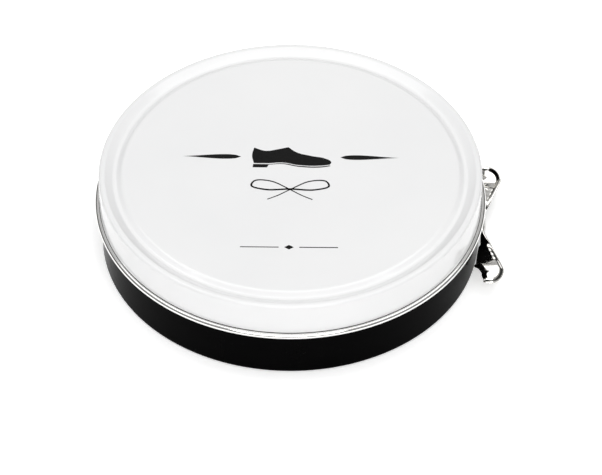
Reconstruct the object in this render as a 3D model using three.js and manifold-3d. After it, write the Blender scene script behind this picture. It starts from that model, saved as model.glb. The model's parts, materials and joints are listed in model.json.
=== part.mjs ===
// A round tin of shoe polish with a lift-off lid and a riveted butterfly key.
// Millimetres, +Z up. The origin is the centre of the tin's underside, which stands on Z = 0.
// The key's rivet runs along +X, so the wings of the key lie along +Y and -Y.

import * as THREE from 'three';
import { mergeVertices } from 'three/addons/utils/BufferGeometryUtils.js';
import Module from 'manifold-3d';

const { lerp, smoothstep } = THREE.MathUtils;
const wasm = await Module();
wasm.setup();

// Driving dimensions.
const SHEET = 0.28;              // tinplate of the lid and the base
const GAP = 0.3;                 // clearance between pieces that lie against each other
const ROUND_SEGMENTS = 80;       // facets around the tin

const BASE_RADIUS = 35.5;        // outside of the exposed base wall
const BASE_CORNER = 0.8;         // outside radius of the bottom corner
const SHOULDER_Z = 8.8;          // where the wall steps in to the neck
const NECK_RADIUS = 35.3;        // outside of the neck inside the lid
const NECK_TOP = 15.6;           // top of the neck's inward curl
const NECK_CURL = 0.5;           // section radius of that curl
const FOOT_RING = [28.5, 31.5];  // pressed stiffening ring in the underside
const FOOT_RING_RISE = 0.35;

const LID_RADIUS = 35.9;         // outside of the lid's skirt
const LID_TOP = 17.35;           // top of the lid's rim
const LID_CORNER = 1.0;          // outside radius between rim and skirt
const BEAD_Z = 10.24;            // centre height of the lid's rolled edge
const BEAD_SECTION = 0.55;       // section radius of the rolled edge
const PANEL_DROP = 0.2;          // the lid's centre panel below the rim
const GROOVE_DROP = 0.82;        // the ring groove below the rim
const PANEL_RADIUS = 31.5;
const GROOVE = [32.55, 33.15];   // the flat bottom of the groove
const CREST_RADIUS = 34.75;      // where the slope out of the groove meets the rim
const CREASE_SOFTENING = 0.4;    // how far a crease of the panel is rounded off

const CAKE_BOTTOM = 0.95;
const CAKE_TOP = 10.4;
const CAKE_RADIUS = 34.7;

const PIVOT_Z = 4.1;             // height of the key's rivet
const KEY_SHEET = 0.45;          // steel of the key
const KEY_HUB_X = BASE_RADIUS + GAP + KEY_SHEET / 2;
const KEY_HUB_HALF_HEIGHT = 2.5;
const WING_START = 3.6;          // where the wing leaves the hub, from the rivet's axis
const WING_SHOULDER = 12.0;      // where the wing is widest
const WING_END = 14.95;
const END_SLANT = 0.35;          // the end's inner corner stops this much short of its outer one
const WING_REACH = 40.1;         // the outer edge at the widest place, from the tin's axis
const WING_END_X = 37.1;         // middle of the round end
const HUB_TO_WING = [2.6, 6.6];  // the stretch where the upright hub turns into the lying wing
const TRAY_FLOOR = -1.27;        // the wing's floor, from the rivet's axis
const TRAY_SLOPE = 0.16;         // how fast the floor rises towards the wing's end
const SLOPE_START = 6.5;         // where the floor starts to rise
const RIM_HEIGHT = 0.62;         // the turned-up rim above the floor
const RIM_START = [5.2, 7.4];    // the stretch where the rim rises
const SIDE_RIM_RUN = 1.0;        // width of the rim's slope along the outer edge
const END_RIM_RUN = 0.5;         // and at the wing's end
const NECK_FADE = [9.7, 11.4];   // the stretch where the leaning neck gives way to the dish
const NECK_LEAN = 1.35;          // the neck's inner edge above its floor
const FLANK_HEIGHT = 0.65;       // the raised flank beside the tin, above the floor
const FLANK_RUN = 0.9;           // width of the flank's slope
const WALL_EDGE = 35.0;          // the neck's inner edge, close under the tin's wall
const CLEAR_EDGE = 36.0;         // the dish's inner edge, clear of the tin's wall
const END_TURN = 0.3;            // the inner edge turns away from the tin at the wing's end
const LUG_PLACE = 11.0;          // the prying lug, from the rivet's axis
const LUG_HALF_WIDTH = 0.8;
const LUG_LENGTH = 0.36;
const LUG_RISE = 0.18;           // how far the lug bends up
const KEY_COLUMNS = 56;          // facets along the key
const KEY_ROWS = 14;             // facets across it
const HOLE_RADIUS = 1.4;
const SHANK_RADIUS = 1.1;
const HEAD_GAP = 0.2;
const HEAD_RADIUS = 2.1;
const HEAD_HEIGHT = 0.45;
const WASHER_RADIUS = 2.4;
const WASHER_SHEET = 0.45;
const TAIL_RADIUS = 1.8;
const TAIL_HEIGHT = 0.7;

const COLOURS = {
  white_lacquer: { color: 0xf2f2f1, roughness: 0.22, metalness: 0.0 },
  black_lacquer: { color: 0x0b0b0c, roughness: 0.25, metalness: 0.0 },
  bright_tin: { color: 0xd4d3cf, roughness: 0.2, metalness: 1.0 },
  steel: { color: 0xb4b4b2, roughness: 0.3, metalness: 1.0 },
  black_wax: { color: 0x141312, roughness: 0.45, metalness: 0.0 },
};

function material(name) {
  return new THREE.MeshStandardMaterial(COLOURS[name]);
}

function merged(geometry) {
  const bare = geometry.index ? geometry.toNonIndexed() : geometry.clone();
  bare.deleteAttribute('normal');
  bare.deleteAttribute('uv');
  return mergeVertices(bare, 1e-4);
}

function toSolid(geometry) {
  const closed = merged(geometry);
  return new wasm.Manifold(new wasm.Mesh({
    numProp: 3,
    vertProperties: new Float32Array(closed.attributes.position.array),
    triVerts: new Uint32Array(closed.index.array),
  }));
}

function toGeometry(solid) {
  const mesh = solid.getMesh();
  const geometry = new THREE.BufferGeometry();
  geometry.setAttribute('position', new THREE.BufferAttribute(mesh.vertProperties, 3));
  geometry.setIndex(new THREE.BufferAttribute(mesh.triVerts, 1));
  return geometry;
}

// A piece turned around Z from a closed outline of [radius, height] points.
function turned(outline, segments = ROUND_SEGMENTS) {
  const points = outline.map(([radius, z]) => new THREE.Vector2(radius, z));
  const geometry = new THREE.LatheGeometry(points, segments);
  geometry.rotateX(Math.PI / 2);
  return merged(geometry);
}

// Points on an arc in the radius and height plane, from one angle to another in degrees.
function arc(radius, z, section, from, to, steps) {
  const points = [];
  for (let i = 0; i <= steps; i += 1) {
    const angle = THREE.MathUtils.degToRad(from + (to - from) * i / steps);
    points.push([radius + section * Math.cos(angle), z + section * Math.sin(angle)]);
  }
  return points;
}

// A cylinder along X, for the rivet and the holes it passes through.
function rod(radius, fromX, toX, segments = 24) {
  const geometry = new THREE.CylinderGeometry(radius, radius, toX - fromX, segments);
  geometry.rotateZ(-Math.PI / 2);
  geometry.translate((fromX + toX) / 2, 0, PIVOT_Z);
  return geometry;
}

// The base: a drawn cup with a ring pressed into its underside and a neck that ends in a curl.
function baseGeometry() {
  const inner = BASE_CORNER - SHEET;
  const neckIn = NECK_RADIUS - SHEET;
  const curlX = NECK_RADIUS - NECK_CURL;
  const curlZ = NECK_TOP - NECK_CURL;
  const [ringIn, ringOut] = FOOT_RING;
  const outline = [
    [0, 0],
    [ringIn, 0],
    [ringIn + 0.5, FOOT_RING_RISE],
    [ringOut - 0.5, FOOT_RING_RISE],
    [ringOut, 0],
    ...arc(BASE_RADIUS - BASE_CORNER, BASE_CORNER, BASE_CORNER, -90, 0, 3),
    [BASE_RADIUS, SHOULDER_Z],
    [NECK_RADIUS, SHOULDER_Z + 0.4],
    ...arc(curlX, curlZ, NECK_CURL, 0, 270, 6),
    [neckIn, curlZ - NECK_CURL],
    [neckIn, SHOULDER_Z + 0.4],
    [BASE_RADIUS - SHEET, SHOULDER_Z],
    ...arc(BASE_RADIUS - BASE_CORNER, BASE_CORNER, inner, 0, -90, 3),
    [ringOut, SHEET],
    [ringOut - 0.5, FOOT_RING_RISE + SHEET],
    [ringIn + 0.5, FOOT_RING_RISE + SHEET],
    [ringIn, SHEET],
    [0, SHEET],
  ];
  const cup = toSolid(turned(outline));
  const hole = toSolid(rod(HOLE_RADIUS, BASE_RADIUS - 2, BASE_RADIUS + 2));
  return toGeometry(cup.subtract(hole));
}

// The lid: a flat panel, a ring groove, a rounded rim, and a skirt that ends in an outward roll.
function lidGeometry() {
  const panelZ = LID_TOP - PANEL_DROP;
  const grooveZ = LID_TOP - GROOVE_DROP;
  const skirtIn = LID_RADIUS - SHEET;
  const rimIn = LID_RADIUS - LID_CORNER;
  const beadX = skirtIn + BEAD_SECTION;
  const [grooveIn, grooveOut] = GROOVE;
  const top = [
    [0, panelZ],
    [PANEL_RADIUS - CREASE_SOFTENING, panelZ],
    [PANEL_RADIUS + CREASE_SOFTENING / 2, panelZ - CREASE_SOFTENING / 4],
    [grooveIn, grooveZ],
    [grooveOut, grooveZ],
    [CREST_RADIUS - CREASE_SOFTENING / 2, LID_TOP - CREASE_SOFTENING / 4],
  ];
  const underside = top.map(([radius, z]) => [radius, z - SHEET]).reverse();
  const outline = [
    ...top,
    ...arc(rimIn, LID_TOP - LID_CORNER, LID_CORNER, 85, 0, 4),
    ...arc(beadX, BEAD_Z, BEAD_SECTION, 116, -180, 9),
    ...arc(rimIn, LID_TOP - LID_CORNER, LID_CORNER - SHEET, 0, 85, 4),
    ...underside,
  ];
  return turned(outline.reverse());
}

// The wing's outer edge, from the tin's axis, at a distance along the wing: it flares out to the
// shoulder and then turns in a quarter ellipse to the wing's end.
function outerEdge(along) {
  if (along <= WING_SHOULDER) {
    const share = Math.max(0, (along - WING_START) / (WING_SHOULDER - WING_START));
    const flare = share * (1.25 - 0.25 * share);
    return lerp(KEY_HUB_X + 0.2, WING_REACH, flare);
  }
  const share = Math.min(0.96, (along - WING_SHOULDER) / (WING_END - WING_SHOULDER));
  return WING_END_X + (WING_REACH - WING_END_X) * Math.sqrt(1 - share * share);
}

// How much of the lug there is at a distance along the wing, from 0 to 1.
function lugAt(along) {
  return smoothstep(1 - Math.abs(along - LUG_PLACE) / LUG_HALF_WIDTH, 0, 1);
}

// The wing's inner edge closes on the tin's wall as far as the lug, and then stands clear.
function innerEdge(along) {
  const beside = lerp(KEY_HUB_X, WALL_EDGE, smoothstep(along, 2.2, 10.6));
  const clear = lerp(beside, CLEAR_EDGE, smoothstep(along, LUG_PLACE - 0.2, LUG_PLACE + 2));
  const turn = END_TURN * smoothstep(along, WING_END - 1.8, WING_END);
  return clear - LUG_LENGTH * lugAt(along) + turn;
}

// The turned-up rim: a gentle roll along the outer edge that steepens round to the wing's end.
function rimHeight(x, along) {
  const ahead = Math.max(0, (along - WING_SHOULDER) / (WING_END - WING_SHOULDER));
  const across = Math.max(0, (x - WING_END_X) / (WING_REACH - WING_END_X));
  const corner = lerp(WING_REACH - WING_END_X, WING_END - WING_SHOULDER, ahead);
  const distance = ahead > 0
    ? (1 - Math.hypot(across, ahead)) * corner
    : outerEdge(along) - x;
  const run = lerp(SIDE_RIM_RUN, END_RIM_RUN, ahead);
  return RIM_HEIGHT * (1 - smoothstep(distance, 0, run)) * smoothstep(along, ...RIM_START);
}

// The middle of the key's sheet at a distance along one wing. share runs from 0, the edge that
// turns outward to make the wing, to 1, the edge that stays beside the tin's wall. The wing is a
// shallow tray with an upturned rim, a leaning neck and a raised flank.
function wingPoint(along, share) {
  const inner = innerEdge(along);
  const x = lerp(outerEdge(along), inner, share);
  const neck = 1 - smoothstep(along, ...NECK_FADE);
  const endFade = 1 - 0.6 * smoothstep(along, WING_END - 1.8, WING_END);
  const flank = FLANK_HEIGHT * (1 - neck) * endFade * (1 - smoothstep(x - inner, -0.2, FLANK_RUN));
  const raised = (rimHeight(x, along) ** 4 + flank ** 4) ** 0.25;
  const slope = TRAY_SLOPE * Math.max(0, along - SLOPE_START);
  const lean = NECK_LEAN * neck * share ** 1.1;
  const lug = LUG_RISE * lugAt(along) * share;
  const y = along - END_SLANT * share * smoothstep(along, WING_SHOULDER, WING_END);
  const tray = new THREE.Vector3(x, y, TRAY_FLOOR + slope + lean + raised + lug);
  const hub = new THREE.Vector3(KEY_HUB_X, y, KEY_HUB_HALF_HEIGHT * (2 * share - 1));
  return hub.lerp(tray, smoothstep(along, ...HUB_TO_WING));
}

// The key's sheet: the wing on +Y is folded outward along its lower edge, and the wing on -Y
// is the same shape turned half round the rivet's axis.
function keyMiddle(along, share) {
  if (along >= 0) {
    return wingPoint(along, share);
  }
  const point = wingPoint(-along, 1 - share);
  return new THREE.Vector3(point.x, -point.y, -point.z);
}

// A closed solid that gives a thickness to a surface sampled on a grid.
function thickened(surface, columns, rows, thickness) {
  const sides = [1, -1];
  const positions = [];
  const step = 1e-3;
  sides.forEach((side) => {
    for (let i = 0; i <= columns; i += 1) {
      for (let j = 0; j <= rows; j += 1) {
        const u = i / columns;
        const v = j / rows;
        const alongU = surface(Math.min(1, u + step), v).sub(surface(Math.max(0, u - step), v));
        const alongV = surface(u, Math.min(1, v + step)).sub(surface(u, Math.max(0, v - step)));
        const normal = alongU.cross(alongV).normalize();
        const point = surface(u, v).addScaledVector(normal, side * thickness / 2);
        positions.push(point.x, point.y, point.z);
      }
    }
  });
  const layer = (columns + 1) * (rows + 1);
  const at = (side, i, j) => side * layer + i * (rows + 1) + j;
  const index = [];
  const quad = (a, b, c, d) => index.push(a, b, c, a, c, d);
  for (let i = 0; i < columns; i += 1) {
    for (let j = 0; j < rows; j += 1) {
      quad(at(0, i, j), at(0, i + 1, j), at(0, i + 1, j + 1), at(0, i, j + 1));
      quad(at(1, i, j), at(1, i, j + 1), at(1, i + 1, j + 1), at(1, i + 1, j));
    }
    quad(at(0, i, 0), at(1, i, 0), at(1, i + 1, 0), at(0, i + 1, 0));
    quad(at(0, i, rows), at(0, i + 1, rows), at(1, i + 1, rows), at(1, i, rows));
  }
  for (let j = 0; j < rows; j += 1) {
    quad(at(0, 0, j), at(0, 0, j + 1), at(1, 0, j + 1), at(1, 0, j));
    quad(at(0, columns, j), at(1, columns, j), at(1, columns, j + 1), at(0, columns, j + 1));
  }
  const geometry = new THREE.BufferGeometry();
  geometry.setAttribute('position', new THREE.Float32BufferAttribute(positions, 3));
  geometry.setIndex(index);
  return geometry;
}

// Places from -1 to 1, closer together towards the two ends.
function spacing(place) {
  return 0.6 * place + 0.4 * Math.sin(place * Math.PI / 2);
}

function keyGeometry() {
  const sheet = thickened(
    (u, v) => keyMiddle(WING_END * spacing(2 * u - 1), (spacing(2 * v - 1) + 1) / 2),
    KEY_COLUMNS,
    KEY_ROWS,
    KEY_SHEET,
  );
  sheet.translate(0, 0, PIVOT_Z);
  const hole = toSolid(rod(HOLE_RADIUS, BASE_RADIUS - 1, WING_REACH));
  return toGeometry(toSolid(sheet).subtract(hole));
}

// The rivet: a low domed head outside the key, the shank, and the spread tail inside the tin.
function rivetGeometry() {
  const headX = KEY_HUB_X + KEY_SHEET / 2 + HEAD_GAP;
  const tailX = washerX() - GAP;
  const outline = [
    [0, tailX - TAIL_HEIGHT],
    [TAIL_RADIUS - 0.3, tailX - TAIL_HEIGHT],
    [TAIL_RADIUS, tailX - TAIL_HEIGHT / 2],
    [TAIL_RADIUS, tailX],
    [SHANK_RADIUS, tailX],
    [SHANK_RADIUS, headX],
    [HEAD_RADIUS, headX],
    [HEAD_RADIUS - 0.2, headX + HEAD_HEIGHT * 0.5],
    [HEAD_RADIUS * 0.6, headX + HEAD_HEIGHT * 0.9],
    [0, headX + HEAD_HEIGHT],
  ];
  const geometry = turned(outline, 24);
  geometry.rotateY(Math.PI / 2);
  geometry.translate(0, 0, PIVOT_Z);
  return geometry;
}

// The inner face of the washer stands clear of the curved wall at the washer's edge.
function washerX() {
  const wallIn = BASE_RADIUS - SHEET;
  return Math.sqrt(wallIn ** 2 - WASHER_RADIUS ** 2) - GAP - WASHER_SHEET;
}

function washerGeometry() {
  const outline = [
    [HOLE_RADIUS, 0],
    [WASHER_RADIUS, 0],
    [WASHER_RADIUS, WASHER_SHEET],
    [HOLE_RADIUS, WASHER_SHEET],
    [HOLE_RADIUS, 0],
  ];
  const geometry = turned(outline, 24);
  geometry.rotateY(Math.PI / 2);
  geometry.translate(washerX(), 0, PIVOT_Z);
  return geometry;
}

// The polish: a poured cake with a slight hollow on top and a pocket around the rivet's tail.
function cakeGeometry() {
  const outline = [
    [0, CAKE_BOTTOM],
    [CAKE_RADIUS - 0.4, CAKE_BOTTOM],
    [CAKE_RADIUS, CAKE_BOTTOM + 0.4],
    [CAKE_RADIUS, CAKE_TOP],
    [CAKE_RADIUS - 1.2, CAKE_TOP - 0.3],
    [0, CAKE_TOP - 0.35],
  ];
  const pocketX = washerX() - GAP - TAIL_HEIGHT - GAP;
  const pocket = toSolid(rod(WASHER_RADIUS + GAP, pocketX, BASE_RADIUS + 1));
  return toGeometry(toSolid(turned(outline)).subtract(pocket));
}

function piece(name, geometry, materialName) {
  geometry.computeVertexNormals();
  const mesh = new THREE.Mesh(geometry, material(materialName));
  mesh.name = name;
  return mesh;
}

const tin = new THREE.Group();
tin.add(
  piece('base', baseGeometry(), 'black_lacquer'),
  piece('lid', lidGeometry(), 'white_lacquer'),
  piece('opener_key', keyGeometry(), 'bright_tin'),
  piece('key_rivet', rivetGeometry(), 'steel'),
  piece('rivet_washer', washerGeometry(), 'steel'),
  piece('polish_cake', cakeGeometry(), 'black_wax'),
);

export default tin;
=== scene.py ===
import json
import math

import bmesh
import bpy
from mathutils import Matrix, Vector


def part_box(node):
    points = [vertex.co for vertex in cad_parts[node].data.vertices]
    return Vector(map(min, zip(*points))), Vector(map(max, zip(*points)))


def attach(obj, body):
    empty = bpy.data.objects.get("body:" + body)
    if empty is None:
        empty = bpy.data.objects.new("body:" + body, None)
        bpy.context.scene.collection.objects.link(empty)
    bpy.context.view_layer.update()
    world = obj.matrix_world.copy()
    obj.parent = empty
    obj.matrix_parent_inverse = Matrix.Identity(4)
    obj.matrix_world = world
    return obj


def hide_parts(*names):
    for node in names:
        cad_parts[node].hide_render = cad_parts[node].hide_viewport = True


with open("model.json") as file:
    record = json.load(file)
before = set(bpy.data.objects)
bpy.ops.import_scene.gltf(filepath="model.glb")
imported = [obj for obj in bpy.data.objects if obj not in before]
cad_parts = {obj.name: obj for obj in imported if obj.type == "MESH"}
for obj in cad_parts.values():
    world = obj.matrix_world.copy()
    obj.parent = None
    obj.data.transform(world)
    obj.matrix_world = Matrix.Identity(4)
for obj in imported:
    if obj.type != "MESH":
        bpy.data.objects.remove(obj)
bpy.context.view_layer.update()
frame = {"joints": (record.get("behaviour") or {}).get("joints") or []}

# Lengths are in millimetres, and MM turns them into scene metres. Only the lights and the camera are
# placed in metres.
MM = 0.001
AROUND = 192                      # facets around the tin
SHEET = 0.28                      # tinplate
BEAD_SECTION = 0.55               # section radius of the lid's rolled edge
PANEL_DROP = 0.2                  # from the lid's crest down to its panel
HOLE_RADIUS = 1.4                 # of the rivet's holes in the wall, the key and the washer
SHARP_DEGREES = 35                # faces that meet at more than this shade as a corner
KEY_SHARP_DEGREES = 60


def box_mm(node):
    """The lowest and highest corner of a CAD node, in millimetres."""
    low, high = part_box(node)
    return low / MM, high / MM


LID_LOW, LID_HIGH = box_mm("lid")
BASE_HIGH = box_mm("base")[1]
KEY_HIGH = box_mm("opener_key")[1]
RIVET_LOW, RIVET_HIGH = box_mm("key_rivet")
WASHER_LOW, WASHER_HIGH = box_mm("rivet_washer")
CAKE_LOW, CAKE_HIGH = box_mm("polish_cake")

BEAD_X = LID_HIGH.x - BEAD_SECTION
BEAD_Z = LID_LOW.z + BEAD_SECTION
SKIRT_IN = BEAD_X - BEAD_SECTION
SKIRT_OUT = SKIRT_IN + SHEET
PIVOT_Z = next(j for j in frame["joints"] if j["name"] == "key_turn")["pos_m"][2] / MM


# ---------------------------------------------------------------- shapes

def blend(first, second, share):
    return first + (second - first) * share


def ease(value, low, high):
    """A smooth step from 0 to 1 as value goes from low to high."""
    share = min(1.0, max(0.0, (value - low) / (high - low)))
    return share * share * (3 - 2 * share)


def rounded(corners, steps=7):
    """Points along an outline of (radius, height, fillet, tag) corners, with each fillet as an arc.
    The tag says what the stretch after a corner is made of."""
    points = []
    for i, (x, z, fillet, tag) in enumerate(corners):
        if not fillet or i in (0, len(corners) - 1):
            points.append((x, z, tag))
            continue
        here = Vector((x, z))
        before = (Vector(corners[i - 1][:2]) - here).normalized()
        after = (Vector(corners[i + 1][:2]) - here).normalized()
        half = before.angle(after) / 2
        reach = fillet / math.tan(half)
        centre = here + (before + after).normalized() * fillet / math.sin(half)
        start = here + before * reach - centre
        sweep = start.angle_signed(here + after * reach - centre)
        for k in range(steps + 1):
            turned = start.copy()
            turned.rotate(Matrix.Rotation(-sweep * k / steps, 2))
            points.append((centre.x + turned.x, centre.y + turned.y, tag))
    return points


def arc(x, z, section, first, last, steps, tag):
    """Points on a circular arc between two angles in degrees."""
    angles = [math.radians(first + (last - first) * k / steps) for k in range(steps + 1)]
    return [(x + section * math.cos(a), z + section * math.sin(a), tag) for a in angles]


def supported(points, margin=0.15):
    """Adds a point near each end of every long stretch, so that flat faces shade flat."""
    result = []
    for (x0, z0, tag), (x1, z1, _) in zip(points, points[1:]):
        result.append((x0, z0, tag))
        length = math.hypot(x1 - x0, z1 - z0)
        if length > 4 * margin:
            for share in (margin / length, 1 - margin / length):
                result.append((blend(x0, x1, share), blend(z0, z1, share), tag))
    result.append(points[-1])
    return result


def finished(obj, sharp_degrees=SHARP_DEGREES):
    """Consistent outward faces, smooth shading, and sharp edges only at real corners."""
    weld_metres = 1e-8
    mesh = obj.data
    work = bmesh.new()
    work.from_mesh(mesh)
    bmesh.ops.remove_doubles(work, verts=work.verts, dist=weld_metres)
    bmesh.ops.recalc_face_normals(work, faces=work.faces)
    work.to_mesh(mesh)
    work.free()
    for polygon in mesh.polygons:
        polygon.use_smooth = True
    mesh.set_sharp_from_angle(angle=math.radians(sharp_degrees))
    return obj


def mesh_object(name, vertices, faces, materials, face_slots=None):
    """An object from vertices in millimetres. face_slots gives each face's material."""
    mesh = bpy.data.meshes.new(name)
    mesh.from_pydata([Vector(v) * MM for v in vertices], [], faces)
    for material in materials:
        mesh.materials.append(material)
    if face_slots:
        mesh.polygons.foreach_set("material_index", face_slots)
    obj = bpy.data.objects.new(name, mesh)
    bpy.context.scene.collection.objects.link(obj)
    return obj


def turned_piece(name, points, materials, around=AROUND, tags=()):
    """A piece turned around Z. tags lists the tags in the order of the materials."""
    vertices = []
    rings = []
    for x, z, _ in points:
        if abs(x) < 1e-6:         # on the axis, where all of a ring's vertices are one
            rings.append([len(vertices)] * around)
            vertices.append((0, 0, z))
            continue
        rings.append(list(range(len(vertices), len(vertices) + around)))
        for k in range(around):
            angle = 2 * math.pi * k / around
            vertices.append((x * math.cos(angle), x * math.sin(angle), z))
    faces = []
    slots = []
    for (ring, upper), (_, _, tag) in zip(zip(rings, rings[1:]), points):
        for k in range(around):
            following = (k + 1) % around
            corners = [ring[k], ring[following], upper[following], upper[k]]
            face = list(dict.fromkeys(corners))
            if len(face) > 2:
                faces.append(face)
                slots.append(tags.index(tag) if tag in tags else 0)
    return finished(mesh_object(name, vertices, faces, materials, slots))


def evaluated_mesh(obj):
    """A new mesh of an object as its modifiers or its curve settings leave it."""
    graph = bpy.context.evaluated_depsgraph_get()
    return bpy.data.meshes.new_from_object(obj.evaluated_get(graph))


def cut(obj, cutter, sharp_degrees=SHARP_DEGREES):
    """Cuts one solid out of another, and removes the cutter."""
    modifier = obj.modifiers.new("cut", "BOOLEAN")
    modifier.operation = "DIFFERENCE"
    modifier.solver = "EXACT"
    modifier.object = cutter
    mesh = evaluated_mesh(obj)
    obj.modifiers.clear()
    obj.data = mesh
    bpy.data.objects.remove(cutter)
    return finished(obj, sharp_degrees)


def along_x(obj, z):
    """Turns a piece that was made around Z so that it lies along X at a height."""
    obj.data.transform(Matrix.Translation((0, 0, z * MM)) @ Matrix.Rotation(math.pi / 2, 4, "Y"))
    return obj


def rod(name, radius, from_x, to_x, z, around=48):
    """A round bar along X, used to cut holes."""
    points = [(0, from_x, ""), (radius, from_x, ""), (radius, to_x, ""), (0, to_x, "")]
    return along_x(turned_piece(name, points, [], around), z)


# ---------------------------------------------------------------- materials

class Finish:
    """A Principled material with helpers for layered procedural detail."""

    def __init__(self, name, metallic=0.0, specular=0.5):
        self.material = bpy.data.materials.new(name)
        self.material.use_nodes = True
        self.nodes = self.material.node_tree.nodes
        self.links = self.material.node_tree.links
        self.shader = self.nodes["Principled BSDF"]
        self.shader.inputs["Metallic"].default_value = metallic
        self.shader.inputs["Specular IOR Level"].default_value = specular
        self.place = self.nodes.new("ShaderNodeTexCoord").outputs["Object"]
        self.normal = None

    def noise(self, per_mm, detail=4.0, stretch=(1, 1, 1), roughness=0.55, turn=0):
        """Noise with about per_mm features a millimetre, stretched and turned around Z."""
        mapping = self.nodes.new("ShaderNodeMapping")
        mapping.inputs["Rotation"].default_value = (0, 0, math.radians(turn))
        mapping.inputs["Scale"].default_value = [s * per_mm / MM for s in stretch]
        texture = self.nodes.new("ShaderNodeTexNoise")
        texture.inputs["Scale"].default_value = 1.0
        texture.inputs["Detail"].default_value = detail
        texture.inputs["Roughness"].default_value = roughness
        self.links.new(self.place, mapping.inputs["Vector"])
        self.links.new(mapping.outputs["Vector"], texture.inputs["Vector"])
        return texture.outputs["Fac"]

    def spread(self, value, low, high, from_low=0.3, from_high=0.7):
        """Spreads the middle of a noise's values over the range from low to high."""
        node = self.nodes.new("ShaderNodeMapRange")
        node.inputs["From Min"].default_value = from_low
        node.inputs["From Max"].default_value = from_high
        node.inputs["To Min"].default_value = low
        node.inputs["To Max"].default_value = high
        self.links.new(value, node.inputs["Value"])
        return node.outputs["Result"]

    def mottle(self, value, first, second):
        """A base colour that wanders between two tones as a noise does."""
        node = self.nodes.new("ShaderNodeMix")
        node.data_type = "RGBA"
        node.inputs["A"].default_value = (*first, 1)
        node.inputs["B"].default_value = (*second, 1)
        self.links.new(self.spread(value, 0.0, 1.0), node.inputs["Factor"])
        self.links.new(node.outputs["Result"], self.shader.inputs["Base Color"])

    def combine(self, first, second, operation):
        """The sum, product or greater of two values. The second may be a plain number."""
        node = self.nodes.new("ShaderNodeMath")
        node.operation = operation
        self.links.new(first, node.inputs[0])
        if isinstance(second, float):
            node.inputs[1].default_value = second
        else:
            self.links.new(second, node.inputs[1])
        return node.outputs["Value"]

    def roughness(self, output):
        self.links.new(output, self.shader.inputs["Roughness"])

    def scuffed(self, value, low, high, marks, extra):
        """Roughness that wanders from low to high as a noise does, with extra along the marks."""
        base = self.spread(value, low, high)
        scuffs = self.combine(marks, extra, "MULTIPLY")
        self.roughness(self.combine(base, scuffs, "ADD"))

    def glow(self, strength):
        """White light of its own."""
        self.shader.inputs["Emission Color"].default_value = (1, 1, 1, 1)
        self.shader.inputs["Emission Strength"].default_value = strength

    def bump(self, value, depth, strength):
        """Stacks a bump layer whose full height is depth millimetres."""
        node = self.nodes.new("ShaderNodeBump")
        node.inputs["Strength"].default_value = strength
        node.inputs["Distance"].default_value = depth * MM
        self.links.new(value, node.inputs["Height"])
        if self.normal is not None:
            self.links.new(self.normal, node.inputs["Normal"])
        self.normal = node.outputs["Normal"]
        self.links.new(self.normal, self.shader.inputs["Normal"])

    def hairlines(self, per_mm, turn, stretch, threshold=0.68):
        """Thin scattered scratches: only the peaks of a stretched noise, with soft edges."""
        edge = 0.06
        streaks = self.noise(per_mm, detail=2.0, stretch=stretch, roughness=0.7, turn=turn)
        return self.spread(streaks, 0.0, 1.0, threshold, threshold + edge)


def white_lacquer():
    finish = Finish("white_lacquer")
    broad = finish.noise(0.035, detail=3.0)
    peel = finish.noise(0.8, detail=2.0)
    fine = finish.noise(1.6, detail=5.0)
    rubs = finish.hairlines(0.5, 25, (1.0, 0.04, 1.0))
    for angle, stretch in ((115, 0.05), (70, 0.03)):
        rubs = finish.combine(rubs, finish.hairlines(0.6, angle, (1.0, stretch, 1.0)), "MAXIMUM")
    finish.mottle(broad, (0.775, 0.777, 0.78), (0.805, 0.805, 0.805))
    finish.scuffed(fine, 0.09, 0.16, rubs, 0.05)
    finish.bump(broad, 0.06, 0.4)
    finish.bump(peel, 0.004, 0.35)
    finish.shader.inputs["Coat Weight"].default_value = 0.2
    finish.shader.inputs["Coat Roughness"].default_value = 0.04
    return finish.material


def black_lacquer():
    finish = Finish("black_lacquer", specular=0.013)
    broad = finish.noise(0.09, detail=4.0)
    fine = finish.noise(1.4, detail=5.0)
    scratch = finish.hairlines(0.7, 0, (1.0, 1.0, 0.08), 0.69)
    finish.mottle(broad, (0.0002, 0.0002, 0.0003), (0.0007, 0.0007, 0.0008))
    finish.scuffed(fine, 0.14, 0.26, scratch, 0.15)
    finish.bump(broad, 0.02, 0.3)
    finish.bump(finish.noise(3.0, detail=2.0), 0.002, 0.3)
    return finish.material


def sheet_metal(name, tone, rough):
    finish = Finish(name, metallic=1.0)
    spangle = finish.noise(0.5, detail=6.0)
    rolled = finish.noise(1.2, detail=4.0)
    dark = tuple(channel * 0.9 for channel in tone)
    finish.mottle(spangle, dark, tone)
    finish.roughness(finish.spread(rolled, *rough))
    finish.bump(rolled, 0.002, 0.3)
    return finish.material


def nickel():
    finish = Finish("bright_nickel", metallic=1.0)
    cloud = finish.noise(0.45, detail=4.0)
    polish = finish.noise(2.4, detail=4.0, stretch=(1, 0.12, 1))
    scratch = finish.hairlines(1.1, 0, (1.0, 0.1, 1.0), 0.67)
    finish.mottle(cloud, (0.66, 0.65, 0.62), (0.82, 0.81, 0.78))
    finish.scuffed(polish, 0.07, 0.16, scratch, 0.14)
    finish.bump(finish.noise(0.55, detail=2.0), 0.05, 0.45)
    finish.bump(polish, 0.003, 0.4)
    return finish.material


def printing_ink():
    finish = Finish("printing_ink", specular=0.12)
    coverage = finish.noise(2.5, detail=5.0)
    finish.mottle(coverage, (0.003, 0.003, 0.003), (0.007, 0.007, 0.007))
    finish.roughness(finish.spread(coverage, 0.3, 0.45))
    finish.bump(coverage, 0.002, 0.3)
    return finish.material


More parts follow.
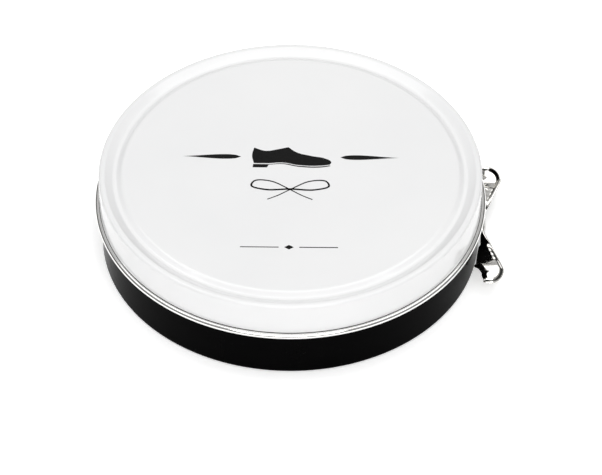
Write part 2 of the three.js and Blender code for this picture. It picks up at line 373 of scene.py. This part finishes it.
def wax():
    finish = Finish("black_wax", specular=0.45)
    cloud = finish.noise(0.12, detail=5.0)
    swirl = finish.noise(0.35, detail=3.0, stretch=(1, 0.35, 1))
    grain = finish.noise(3.5, detail=6.0)
    finish.mottle(cloud, (0.006, 0.0055, 0.005), (0.016, 0.014, 0.012))
    finish.roughness(finish.spread(finish.combine(cloud, grain, "ADD"), 0.28, 0.6, 0.7, 1.3))
    finish.bump(swirl, 0.35, 0.5)
    finish.bump(grain, 0.02, 0.5)
    finish.shader.inputs["Subsurface Weight"].default_value = 0.04
    return finish.material


def pale_floor():
    finish = Finish("pale_floor", specular=0.2)
    finish.mottle(finish.noise(0.02, detail=3.0), (0.93, 0.93, 0.93), (0.95, 0.95, 0.95))
    finish.shader.inputs["Roughness"].default_value = 0.7
    finish.glow(0.33)
    return finish.material


def backdrop_paper():
    finish = Finish("backdrop_paper", specular=0.0)
    finish.mottle(finish.noise(0.002), (0.78, 0.78, 0.78), (0.82, 0.82, 0.82))
    finish.shader.inputs["Roughness"].default_value = 0.9
    finish.glow(0.7)
    return finish.material


WHITE = white_lacquer()
BLACK = black_lacquer()
TIN = sheet_metal("tinplate", (0.86, 0.855, 0.84), (0.05, 0.1))
NICKEL = nickel()
STEEL = sheet_metal("plain_steel", (0.62, 0.62, 0.61), (0.25, 0.4))
INK = printing_ink()
WAX = wax()


# ---------------------------------------------------------------- lid

PANEL_RADIUS = 31.5
PANEL_FILLET = 1.3
GROOVE_DROP = 0.82                # from the crest down to the groove's floor
GROOVE = (32.55, 33.15)           # radii of the groove's floor
GROOVE_FILLET = 0.8
CREST_RADIUS = 34.75
CREST_FILLET = 0.6
BACK_FILLET = 0.6                 # of the groove's and the crest's corners inside
SKIRT_FILLET = 0.32               # inside, where the skirt meets the crest
SEAM_DEPTH = 0.1
SEAM = (0.6, 0.58, 0.5)           # heights of the seam's lip, top and foot above the roll's middle
ROLL_DEGREES = (112, -180)        # from under the seam, round the outside, to inside the skirt
ROLL_STEPS = 22


def make_lid():
    """The drawn lid: panel, ring groove, rounded rim, skirt, the rolled edge of bare tinplate, and
    the seam where the skirt meets the roll, a narrow slot whose faces are black lacquer as painted
    shade."""
    top = LID_HIGH.z
    panel = top - PANEL_DROP
    groove = top - GROOVE_DROP
    outside = rounded([
        (0, panel, 0, "white"),
        (PANEL_RADIUS, panel, PANEL_FILLET, "white"),
        (GROOVE[0], groove, GROOVE_FILLET, "white"),
        (GROOVE[1], groove, GROOVE_FILLET, "white"),
        (CREST_RADIUS, top, CREST_FILLET, "white"),
        (SKIRT_OUT, top, CREST_FILLET, "white"),
        (SKIRT_OUT, BEAD_Z + SEAM[0], 0, "painted_shade_seam"),
    ])
    # The slot's faces carry black lacquer: painted shade in the crease between the skirt and the roll.
    painted_shade_seam = [(SKIRT_OUT - SEAM_DEPTH, BEAD_Z + height, "painted_shade_seam") for height in SEAM[1:]]
    roll = arc(BEAD_X, BEAD_Z, BEAD_SECTION, *ROLL_DEGREES, ROLL_STEPS, "bare")
    inside = rounded([
        (SKIRT_IN, BEAD_Z, 0, "bare"),
        (SKIRT_IN, top - SHEET, SKIRT_FILLET, "bare"),
        (CREST_RADIUS, top - SHEET, BACK_FILLET, "bare"),
        (GROOVE[1], groove - SHEET, BACK_FILLET, "bare"),
        (GROOVE[0], groove - SHEET, BACK_FILLET, "bare"),
        (PANEL_RADIUS, panel - SHEET, PANEL_FILLET, "bare"),
        (0, panel - SHEET, 0, "bare"),
    ])
    points = supported(outside + painted_shade_seam + roll + inside[1:])
    # The seam's stretch takes the black lacquer as painted shade, so the crease reads as a dark line.
    lid = turned_piece("lid_shell", points, [WHITE, TIN, BLACK], tags=("white", "bare", "painted_shade_seam"))
    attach(lid, "lid")
    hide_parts("lid")


# ---------------------------------------------------------------- print on the lid

INK_LIFT = 0.012                  # keeps the ink clear of the panel under it
PRINT_Z = LID_HIGH.z - PANEL_DROP + INK_LIFT
STROKE_STEPS = 24                 # steps between two points of a stroke's line
LACE_WIDTH = (0.22, 0.42)         # at its ends and in its middle
RULE_Y, LACE_Y, END_Y = 4.2, -4.6, -20.0
RULE_SPAN = (9.3, 20.2)           # of each tapered rule, from the middle of the lid
RULE_SWELL = (1.2, 0.5)           # its widest place from its near end, and half its width there
END_RULE_SPAN = (1.9, 9.0)
END_RULE_HALF = 0.11
LOZENGE = (0.9, 0.6)              # half its length and half its width

# A third value in a point marks a sharp corner.
SHOE_UPPER = [
    (-6.9, 2.5, 1), (-7.25, 0.4), (-6.9, -1.75, 1), (-4.1, -1.75, 1), (-1.5, -1.55), (1.6, -2.2),
    (5.6, -2.3), (7.35, -2.0, 1), (7.6, -1.3), (6.6, -0.4), (3.8, 0.35), (1.2, 1.25),
    (-0.5, 2.7, 1), (-2.4, 2.1, 1), (-4.7, 1.65),
]
SHOE_SOLE = [
    (-7.0, -2.0, 1), (-7.1, -2.9, 1), (-4.4, -2.9, 1), (-4.1, -2.15, 1), (-1.5, -1.95), (1.5, -2.65),
    (5.6, -2.8), (7.5, -2.4, 1), (7.3, -2.2, 1), (5.6, -2.5), (1.6, -2.38), (-1.5, -1.75),
    (-4.1, -2.0, 1),
]
LACE = [
    (-4.2, -2.7), (-2.2, -1.6), (0.2, 0.1), (3.6, 2.2), (6.6, 2.3), (7.2, 0.9), (4.4, -0.1), (0, 0.1),
    (-4.4, -0.1), (-7.2, 0.9), (-6.6, 2.3), (-3.6, 2.2), (-0.2, 0.1), (2.2, -1.6), (4.2, -2.7),
]


def on_lid(obj):
    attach(obj, "lid")


def printed(name, outline):
    """A flat printed shape on the lid's panel, from an outline whose sharp corners are marked."""
    curve = bpy.data.curves.new(name, "CURVE")
    curve.dimensions = "2D"
    curve.fill_mode = "BOTH"
    curve.resolution_u = 10
    spline = curve.splines.new("BEZIER")
    spline.bezier_points.add(len(outline) - 1)
    for point, (x, y, *corner) in zip(spline.bezier_points, outline):
        point.co = (x * MM, y * MM, 0)
        kind = "VECTOR" if corner else "AUTO"
        point.handle_left_type = kind
        point.handle_right_type = kind
    spline.use_cyclic_u = True
    flat = bpy.data.objects.new(name + "_curve", curve)
    bpy.context.scene.collection.objects.link(flat)
    mesh = evaluated_mesh(flat)
    bpy.data.objects.remove(flat)
    mesh.transform(Matrix.Translation((0, 0, PRINT_Z * MM)))
    mesh.materials.clear()
    mesh.materials.append(INK)
    obj = bpy.data.objects.new(name, mesh)
    bpy.context.scene.collection.objects.link(obj)
    on_lid(obj)


def catmull(points, share):
    """A point on a smooth curve through a list of points, with share from 0 to 1."""
    spans = len(points) - 1
    span = min(spans - 1, int(share * spans))
    t = share * spans - span
    p1, p2 = points[span], points[span + 1]
    p0 = points[span - 1] if span else p1 * 2 - p2
    p3 = points[span + 2] if span + 2 <= spans else p2 * 2 - p1
    # Centripetal spacing keeps the curve from overshooting where the points crowd.
    gaps = [max(1e-4, math.sqrt((b - a).length)) for a, b in ((p0, p1), (p1, p2), (p2, p3))]
    m1 = (p2 - p1) + ((p1 - p0) / gaps[0] - (p2 - p0) / (gaps[0] + gaps[1])) * gaps[1]
    m2 = (p2 - p1) + ((p3 - p2) / gaps[2] - (p3 - p1) / (gaps[1] + gaps[2])) * gaps[1]
    return (
        p1 * (2 * t**3 - 3 * t**2 + 1) + m1 * (t**3 - 2 * t**2 + t)
        + p2 * (3 * t**2 - 2 * t**3) + m2 * (t**3 - t**2)
    )


def ribbon(name, points, thin, thick):
    """A printed stroke along a smooth line, which swells between its ends."""
    steps = STROKE_STEPS * (len(points) - 1)
    path = [catmull([Vector(p) for p in points], k / steps) for k in range(steps + 1)]
    vertices = []
    for k, here in enumerate(path):
        ahead = (path[min(k + 1, steps)] - path[max(k - 1, 0)]).normalized()
        width = blend(thin, thick, math.sin(math.pi * k / steps) ** 2)
        side = Vector((-ahead.y, ahead.x)) * width / 2
        for point in (here + side, here - side):
            vertices.append((point.x, point.y, PRINT_Z))
    faces = [(2 * k, 2 * k + 1, 2 * k + 3, 2 * k + 2) for k in range(steps)]
    on_lid(mesh_object(name, vertices, faces, [INK]))


def make_rules(side, word):
    """The tapered rule and the short end rule on one side of the lid."""
    near, far = (reach * side for reach in RULE_SPAN)
    swell, half = near + RULE_SWELL[0] * side, RULE_SWELL[1]
    printed("print_rule_" + word, [
        (near, RULE_Y, 1), (swell, RULE_Y + half), (far, RULE_Y, 1), (swell, RULE_Y - half),
    ])
    near, far = (reach * side for reach in END_RULE_SPAN)
    low, high = END_Y - END_RULE_HALF, END_Y + END_RULE_HALF
    printed("print_end_rule_" + word, [(near, low, 1), (far, low, 1), (far, high, 1), (near, high, 1)])


def make_print():
    """Plain ornament: a shoe between two tapered rules, a tied lace, and short rules with a lozenge."""
    for name, outline in (("print_shoe_upper", SHOE_UPPER), ("print_shoe_sole", SHOE_SOLE)):
        printed(name, [(x, y + RULE_Y, *corner) for x, y, *corner in outline])
    for side, word in ((-1, "left"), (1, "right")):
        make_rules(side, word)
    ribbon("print_lace", [(x, y + LACE_Y) for x, y in LACE], *LACE_WIDTH)
    length, width = LOZENGE
    printed("print_lozenge", [
        (-length, END_Y, 1), (0, END_Y - width, 1), (length, END_Y, 1), (0, END_Y + width, 1),
    ])


# ---------------------------------------------------------------- base

BASE_CORNER = 0.8
FOOT_RING = (28.5, 29.0, 31.0, 31.5)    # radii of the pressed ring's corners in the underside
FOOT_RISE = 0.35
WIDE_FILLET, TIGHT_FILLET = 0.8, 0.5    # on the two sides of the ring's bends
SHOULDER_Z = 8.8
SHOULDER_RISE = 0.4
SHOULDER_FILLET = 0.3
NECK_STEP = 0.2
CURL = 0.5                        # section radius of the curl at the mouth
CURL_DEGREES = (0, 270)
CURL_STEPS = 16
WALL_DRILL = 2                    # half the length of the hole's cutter


def foot_ring(lift, low_fillet, high_fillet, tag):
    """The corners of the pressed ring in the underside, from the middle outward."""
    heights = (0, FOOT_RISE, FOOT_RISE, 0)
    fillets = (low_fillet, high_fillet, high_fillet, low_fillet)
    return [(x, z + lift, fillet, tag) for x, z, fillet in zip(FOOT_RING, heights, fillets)]


def make_base():
    """The drawn base: pressed foot ring, wall, stepped neck and the curl at its mouth."""
    radius = BASE_HIGH.x
    neck = radius - NECK_STEP
    curl_z = BASE_HIGH.z - CURL
    outside = rounded([
        (0, 0, 0, "black"),
        *foot_ring(0, WIDE_FILLET, TIGHT_FILLET, "black"),
        (radius, 0, BASE_CORNER, "black"),
        (radius, SHOULDER_Z, SHOULDER_FILLET, "black"),
        (neck, SHOULDER_Z + SHOULDER_RISE, SHOULDER_FILLET, "black"),
        (neck, curl_z, 0, "black"),
    ])
    mouth = arc(neck - CURL, curl_z, CURL, *CURL_DEGREES, CURL_STEPS, "bare")
    inside = rounded([
        (neck - SHEET, curl_z - CURL, 0, "bare"),
        (neck - SHEET, SHOULDER_Z + SHOULDER_RISE, SHOULDER_FILLET, "bare"),
        (radius - SHEET, SHOULDER_Z, SHOULDER_FILLET, "bare"),
        (radius - SHEET, SHEET, BASE_CORNER - SHEET, "bare"),
        *reversed(foot_ring(SHEET, TIGHT_FILLET, WIDE_FILLET, "bare")),
        (0, SHEET, 0, "bare"),
    ])
    points = supported(outside + mouth[1:] + inside)
    base = turned_piece("base_cup", points, [BLACK, TIN], tags=("black", "bare"))
    cut(base, rod("rivet_hole", HOLE_RADIUS, radius - WALL_DRILL, radius + WALL_DRILL, PIVOT_Z))
    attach(base, "base")
    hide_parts("base")


# ---------------------------------------------------------------- butterfly key

KEY_SHEET = 0.45
EDGE_BULGE = 0.12                 # how far the rounded edge stands out from the sheet's outline
KEY_COLUMNS, KEY_ROWS = 240, 56
RIB_DEGREES = (30, 60, 90, 120, 150)
CROWDING = 0.65                   # how strongly the grid's lines crowd toward the edges
KEY_DRILL = 1                     # half the length of the hole's cutter
WALL_GAP = 0.3
BOX_MARGIN = 0.01                 # keeps the key inside the CAD's box

# "Along" is the distance from the rivet's axis toward a wing's end, and heights are above the axis.
HUB_X = BASE_HIGH.x + WALL_GAP + KEY_SHEET / 2
HUB_HALF_HEIGHT = 2.5
HUB_EDGE_OUT = 0.2
HUB_TO_WING = (2.6, 6.6)          # the upright hub turns into the lying wing
WING_START = 3.6
WING_SHOULDER = 12.0
WING_END = 15.15
WING_FLARE = 1.25
END_TURN = 0.97                   # share of the corner's quarter ellipse before the blunt end
END_SLANT = 0.35
WING_REACH = KEY_HIGH.x - EDGE_BULGE - BOX_MARGIN
WING_END_X = 37.1
WALL_EDGE = 35.0                  # x of the edge beside the wall
WALL_APPROACH = (2.2, 10.6)
CLEAR_EDGE = 36.0                 # x of the edge past the lug
CLEAR_RUN = (-0.2, 2.0)           # from the lug's middle
LAST_RUN = 1.8                    # the last stretch, where the inner edge turns outward
LAST_TURN = 0.3
TRAY_FLOOR = -1.27
TRAY_SLOPE = 0.16
SLOPE_START = 6.5
RIM_HEIGHT = 0.62
RIM_START = (5.2, 7.4)
SIDE_RIM_RUN = 1.0
END_RIM_RUN = 0.5
FLANK_HEIGHT = 0.65
FLANK_FOOT = 0.2
FLANK_RUN = 0.9
FLANK_FADE = 0.6                  # share of its height that is lost at the end
DIMPLE_PLACE = 12.9
DIMPLE_LENGTH = 0.4
DIMPLE_RUN = 0.55
NECK_FADE = (9.7, 11.4)
NECK_LEAN = 1.35
LEAN_POWER = 1.1
RIPPLE = 0.038
RIPPLE_PACE, RIPPLE_SWAY, SWAY_PACE = 6.3, 2.0, 4.0
RIPPLE_START = (4.0, 6.0)
RIPPLE_SHARES = (0.1, 0.25, 0.5, 0.65)  # across the wing: none, full, full, none
LUG_PLACE = 11.0
LUG_HALF_WIDTH = 0.8
LUG_LENGTH = 0.45
LUG_REACH, LUG_RISE = 0.8, 0.4    # parts of its length toward the wall and upward


def outer_edge(along):
    """The wing's outer edge: it flares to the shoulder and turns in a quarter ellipse to the end."""
    if along <= WING_SHOULDER:
        share = max(0.0, (along - WING_START) / (WING_SHOULDER - WING_START))
        flared = share * (WING_FLARE - (WING_FLARE - 1) * share)
        return blend(HUB_X + HUB_EDGE_OUT, WING_REACH, flared)
    share = min(END_TURN, (along - WING_SHOULDER) / (WING_END - WING_SHOULDER))
    return WING_END_X + (WING_REACH - WING_END_X) * math.sqrt(1 - share * share)


def lug_at(along):
    """How far the lug stands out at a place along the wing."""
    return LUG_LENGTH * ease(1 - abs(along - LUG_PLACE) / LUG_HALF_WIDTH, 0, 1)


def last_run(along):
    """Rises from 0 to 1 over the wing's last stretch."""
    return ease(along, WING_END - LAST_RUN, WING_END)


def inner_edge(along):
    """The edge beside the tin: it closes on the wall as far as the lug, and then stands clear."""
    beside = blend(HUB_X, WALL_EDGE, ease(along, *WALL_APPROACH))
    clear = blend(beside, CLEAR_EDGE, ease(along - LUG_PLACE, *CLEAR_RUN))
    return clear - LUG_REACH * lug_at(along) + LAST_TURN * last_run(along)


def wing_rim(x, along):
    """The upturned rim: a gentle roll along the outer edge that steepens round to the wing's end."""
    ahead = max(0.0, (along - WING_SHOULDER) / (WING_END - WING_SHOULDER))
    if ahead:
        across = max(0.0, (x - WING_END_X) / (WING_REACH - WING_END_X))
        corner = blend(WING_REACH - WING_END_X, WING_END - WING_SHOULDER, ahead)
        distance = (1 - math.hypot(across, ahead)) * corner
    else:
        distance = outer_edge(along) - x
    run = blend(SIDE_RIM_RUN, END_RIM_RUN, ahead)
    return RIM_HEIGHT * (1 - ease(distance, 0, run)) * ease(along, *RIM_START)


def wing_flank(clearance, along):
    """The raised flank beside the tin, with a dimple near its end. It starts past the neck."""
    run = FLANK_RUN + DIMPLE_RUN * math.exp(-((along - DIMPLE_PLACE) / DIMPLE_LENGTH) ** 2)
    height = FLANK_HEIGHT * ease(along, *NECK_FADE) * (1 - ease(clearance, -FLANK_FOOT, run))
    return height * (1 - FLANK_FADE * last_run(along))


def neck_ripple(along, share):
    """The low waves where the neck was pressed."""
    wave = math.sin(RIPPLE_PACE * along + RIPPLE_SWAY * math.sin(SWAY_PACE * share))
    rise_from, rise_to, fall_from, fall_to = RIPPLE_SHARES
    band = ease(share, rise_from, rise_to) * (1 - ease(share, fall_from, fall_to))
    return RIPPLE * wave * band * ease(along, *RIPPLE_START) * (1 - ease(along, *NECK_FADE))


def wing_point(along, share):
    """The middle of the sheet along one wing, from its outer rim (0) to the edge by the wall (1).
    The wing is a shallow tray: an upturned rim, a floor that leans in the neck, and a raised flank."""
    outer, inner = outer_edge(along), inner_edge(along)
    x = blend(outer, inner, share)
    y = along - END_SLANT * share * ease(along, WING_SHOULDER, WING_END)
    raised = (wing_rim(x, along) ** 4 + wing_flank(x - inner, along) ** 4) ** 0.25
    raised += LUG_RISE * lug_at(along) * share
    slope = TRAY_SLOPE * max(0.0, along - SLOPE_START)
    lean = NECK_LEAN * (1 - ease(along, *NECK_FADE)) * share ** LEAN_POWER
    tray = Vector((x, y, TRAY_FLOOR + slope + lean + raised + neck_ripple(along, share)))
    hub = Vector((HUB_X, y, HUB_HALF_HEIGHT * (2 * share - 1)))
    return hub.lerp(tray, ease(along, *HUB_TO_WING))


def bunched(place, count):
    """Shares from 0 to 1 that crowd at the two ends."""
    even = place / count
    return (1 - CROWDING) * even + CROWDING * (1 - math.cos(math.pi * even)) / 2


def key_middle():
    """A grid of points in the middle of the sheet. The wing on -Y is the one on +Y turned half
    round the rivet's axis."""
    grid = []
    for i in range(KEY_COLUMNS + 1):
        along = WING_END * (2 * bunched(i, KEY_COLUMNS) - 1)
        line = []
        for j in range(KEY_ROWS + 1):
            share = bunched(j, KEY_ROWS)
            if along >= 0:
                point = wing_point(along, share)
            else:
                half = wing_point(-along, 1 - share)
                point = Vector((half.x, -half.y, -half.z))
            line.append(point + Vector((0, 0, PIVOT_Z)))
        grid.append(line)
    return grid


def sheet_frame(grid, i, j):
    """The direction through the sheet at a grid point, and the outward direction at its rim."""
    ahead = (grid[min(i + 1, KEY_COLUMNS)][j] - grid[max(i - 1, 0)][j]).normalized()
    across = (grid[i][min(j + 1, KEY_ROWS)] - grid[i][max(j - 1, 0)]).normalized()
    through = ahead.cross(across).normalized()
    outward = Vector((0, 0, 0))
    if i in (0, KEY_COLUMNS):
        outward += ahead * (1 if i else -1)
    if j in (0, KEY_ROWS):
        outward += ahead.cross(through) * (-1 if j else 1)
    return through, outward.normalized()


def key_skins(grid, vertices):
    """Two skins half the sheet's thickness off its middle, as tables of their vertices' numbers."""
    skins = [{}, {}]
    for side, skin in zip((1, -1), skins):
        for i, line in enumerate(grid):
            for j, point in enumerate(line):
                through, _ = sheet_frame(grid, i, j)
                skin[i, j] = len(vertices)
                vertices.append(point + through * side * KEY_SHEET / 2)
    return skins


def key_ribs(grid, skins, vertices):
    """Rounded ribs from skin to skin over the sheet's edge, one at each grid point round its rim."""
    around = [(i, 0) for i in range(KEY_COLUMNS)]
    around += [(KEY_COLUMNS, j) for j in range(KEY_ROWS)]
    around += [(i, KEY_ROWS) for i in range(KEY_COLUMNS, 0, -1)]
    around += [(0, j) for j in range(KEY_ROWS, 0, -1)]
    ribs = []
    for i, j in around:
        through, outward = sheet_frame(grid, i, j)
        rib = [skins[0][i, j]]
        for angle in RIB_DEGREES:
            turn = math.radians(angle)
            rib.append(len(vertices))
            off = through * math.cos(turn) * KEY_SHEET / 2 + outward * math.sin(turn) * EDGE_BULGE
            vertices.append(grid[i][j] + off)
        ribs.append(rib + [skins[1][i, j]])
    return ribs


def make_key():
    """The stamped key: two skins and a rounded rim round one grid, with the rivet's hole through."""
    grid = key_middle()
    vertices = []
    skins = key_skins(grid, vertices)
    ribs = key_ribs(grid, skins, vertices)
    faces = []
    for i in range(KEY_COLUMNS):
        for j in range(KEY_ROWS):
            for skin in skins:
                faces.append([skin[i, j], skin[i + 1, j], skin[i + 1, j + 1], skin[i, j + 1]])
    for rib, following in zip(ribs, ribs[1:] + ribs[:1]):
        for k in range(len(rib) - 1):
            faces.append([rib[k], rib[k + 1], following[k + 1], following[k]])
    key = mesh_object("opener_key_plate", vertices, faces, [NICKEL])
    finished(key, KEY_SHARP_DEGREES)
    hole = rod("key_hole", HOLE_RADIUS, HUB_X - KEY_DRILL, HUB_X + KEY_DRILL, PIVOT_Z)
    cut(key, hole, KEY_SHARP_DEGREES)
    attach(key, "key")
    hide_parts("opener_key")


# ---------------------------------------------------------------- rivet and washer

SHANK_RADIUS = 1.1
HEAD_RADIUS = 2.1
HEAD_HEIGHT = 0.45
HEAD_EDGE = 0.14
DOME = (1.3, 0.05, 1.2)           # radius and drop of the dome's corner, and its fillet
TAIL_RADIUS = 1.8
TAIL_TIP = (1.0, 1.2)             # radii of the tail's end face and of the spread's neck
TAIL_SPREAD = (0.2, 0.25)         # distances of the spread's neck and shoulder from the end face
WASHER_GAP = 0.3
RIVET_AROUND = 64


def make_rivet():
    """The rivet with a domed head outside and a spread tail inside."""
    end, crown = RIVET_LOW.x, RIVET_HIGH.x
    head_start = crown - HEAD_HEIGHT
    tail_end = WASHER_LOW.x - WASHER_GAP
    corners = [
        (0, end, 0, ""),
        (TAIL_TIP[0], end, 0.2, ""),
        (TAIL_TIP[1], end + TAIL_SPREAD[0], 0.15, ""),
        (TAIL_RADIUS, end + TAIL_SPREAD[1], 0.2, ""),
        (TAIL_RADIUS, tail_end, 0.1, ""),
        (SHANK_RADIUS, tail_end, 0.05, ""),
        (SHANK_RADIUS, head_start, 0.05, ""),
        (HEAD_RADIUS, head_start, 0.08, ""),
        (HEAD_RADIUS, head_start + HEAD_EDGE, 0.08, ""),
        (DOME[0], crown - DOME[1], DOME[2], ""),
        (0, crown, 0, ""),
    ]
    points = supported(rounded(corners), 0.05)
    rivet = along_x(turned_piece("key_rivet_body", points, [STEEL], RIVET_AROUND), PIVOT_Z)
    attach(rivet, "base")
    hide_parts("key_rivet")


def make_washer():
    """The washer's section is a closed loop, which starts and ends inside its hole."""
    near, far = WASHER_LOW.x, WASHER_HIGH.x
    rim = (WASHER_HIGH.z - WASHER_LOW.z) / 2
    in_hole = (HOLE_RADIUS, near + 0.1, 0, "")
    points = rounded([
        in_hole,
        (HOLE_RADIUS, near, 0.06, ""),
        (rim, near, 0.1, ""),
        (rim, far, 0.1, ""),
        (HOLE_RADIUS, far, 0.06, ""),
        in_hole,
    ])
    washer = along_x(turned_piece("rivet_washer_ring", points, [STEEL], RIVET_AROUND), PIVOT_Z)
    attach(washer, "base")
    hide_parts("rivet_washer")


# ---------------------------------------------------------------- polish

MENISCUS_RISE = 0.36              # of the wax at the wall over its flat middle
MENISCUS_BEND = (0.5, 0.1)        # in from the wall, and down from the top
MENISCUS_FOOT = 1.6
POCKET_RADIUS = 2.7
POCKET_GAP = 0.3                  # between the rivet's tail and the wax


def make_cake():
    """The cake of wax, with a raised meniscus at the wall and a pocket around the rivet's tail."""
    radius, top = CAKE_HIGH.x, CAKE_HIGH.z
    flat = top - MENISCUS_RISE
    corners = [
        (0, CAKE_LOW.z, 0, ""),
        (radius, CAKE_LOW.z, 0.5, ""),
        (radius, top, 0.15, ""),
        (radius - MENISCUS_BEND[0], top - MENISCUS_BEND[1], 0.4, ""),
        (radius - MENISCUS_FOOT, flat, 1.2, ""),
        (0, flat, 0, ""),
    ]
    cake = turned_piece("polish_wax", supported(rounded(corners), 0.3), [WAX])
    cut(cake, rod("tail_pocket", POCKET_RADIUS, RIVET_LOW.x - POCKET_GAP, radius + 1, PIVOT_Z))
    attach(cake, "base")
    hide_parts("polish_cake")


# ---------------------------------------------------------------- stage

FLOOR_HALF = 2500
BACKDROP_RADIUS = 2400
BACKDROP_HEIGHT = 1600
BACKDROP_AROUND = 96


def make_floor():
    signs = ((-1, -1), (1, -1), (1, 1), (-1, 1))
    corners = [(x * FLOOR_HALF, y * FLOOR_HALF, 0) for x, y in signs]
    floor = mesh_object("studio_floor", corners, [(0, 1, 2, 3)], [pale_floor()])


def make_backdrop():
    """A pale paper wall all round the floor. It neither lights the tin nor shows in its lacquer."""
    points = [(BACKDROP_RADIUS, 0, ""), (BACKDROP_RADIUS, BACKDROP_HEIGHT, "")]
    wall = turned_piece("studio_backdrop", points, [backdrop_paper()], BACKDROP_AROUND)
    wall.visible_glossy = False
    wall.visible_diffuse = False
    wall.visible_shadow = False


def soft_light(name, place, aim, width, depth, watts):
    """A rectangular soft box at a place, facing a point."""
    light = bpy.data.lights.new(name, "AREA")
    light.shape = "RECTANGLE"
    light.size = width
    light.size_y = depth
    light.energy = watts
    lamp = bpy.data.objects.new(name, light)
    lamp.location = place
    lamp.rotation_euler = (Vector(aim) - Vector(place)).to_track_quat("-Z", "Y").to_euler()
    bpy.context.scene.collection.objects.link(lamp)


def make_sky():
    """A pale ceiling that fades to near dark at the horizon and below it."""
    ramp = {"From Min": 0.34, "From Max": 0.6, "To Min": 0.05, "To Max": 0.55}
    world = bpy.data.worlds.new("studio")
    world.use_nodes = True
    nodes = world.node_tree.nodes
    links = world.node_tree.links
    place = nodes.new("ShaderNodeTexCoord")
    split = nodes.new("ShaderNodeSeparateXYZ")
    strength = nodes.new("ShaderNodeMapRange")
    strength.interpolation_type = "SMOOTHSTEP"
    for socket, value in ramp.items():
        strength.inputs[socket].default_value = value
    links.new(place.outputs["Generated"], split.inputs["Vector"])
    links.new(split.outputs["Z"], strength.inputs["Value"])
    links.new(strength.outputs["Result"], nodes["Background"].inputs["Strength"])
    nodes["Background"].inputs["Color"].default_value = (1, 1, 1, 1)
    bpy.context.scene.world = world


def make_lights():
    """A wide soft box overhead and a smaller one high in front."""
    soft_light("overhead_softbox", place=(0.0, 0.31, 1.15), aim=(0.0, 0.31, 0.0),
               width=1.47, depth=0.88, watts=7.0)
    soft_light("front_softbox", place=(0.0, -1.0, 1.05), aim=(0.0, 0.0, 0.0),
               width=1.2, depth=0.7, watts=11.0)


def make_camera():
    """A long lens from the front, 44 degrees up and nearly square to the key's axis."""
    target = Vector((0.0020, -0.0034, 0.0035))
    distance = 0.858
    elevation = math.radians(44.2)
    azimuth = math.radians(0.6)
    roll = math.radians(0.11)
    sensor_mm, lens_mm = 36, 272.4
    forward = Vector((0, math.cos(elevation), -math.sin(elevation)))
    right = Vector((1, 0, 0))
    up = right.cross(forward)
    side = math.cos(roll) * right + math.sin(roll) * up
    crown = math.cos(roll) * up - math.sin(roll) * right
    turn = Matrix.Rotation(azimuth, 3, "Z")
    camera = bpy.data.cameras.new("photo_view")
    camera.sensor_width = sensor_mm
    camera.lens = lens_mm
    view = bpy.data.objects.new("photo_view", camera)
    axes = Matrix((turn @ side, turn @ crown, turn @ -forward)).transposed()
    place = turn @ (target - distance * forward)
    view.matrix_world = Matrix.Translation(place) @ axes.to_4x4()
    bpy.context.scene.collection.objects.link(view)
    bpy.context.scene.camera = view


make_lid()
make_print()
make_base()
make_key()
make_rivet()
make_washer()
make_cake()
make_floor()
make_backdrop()
make_sky()
make_lights()
make_camera()
bpy.context.scene.view_settings.view_transform = "Standard"
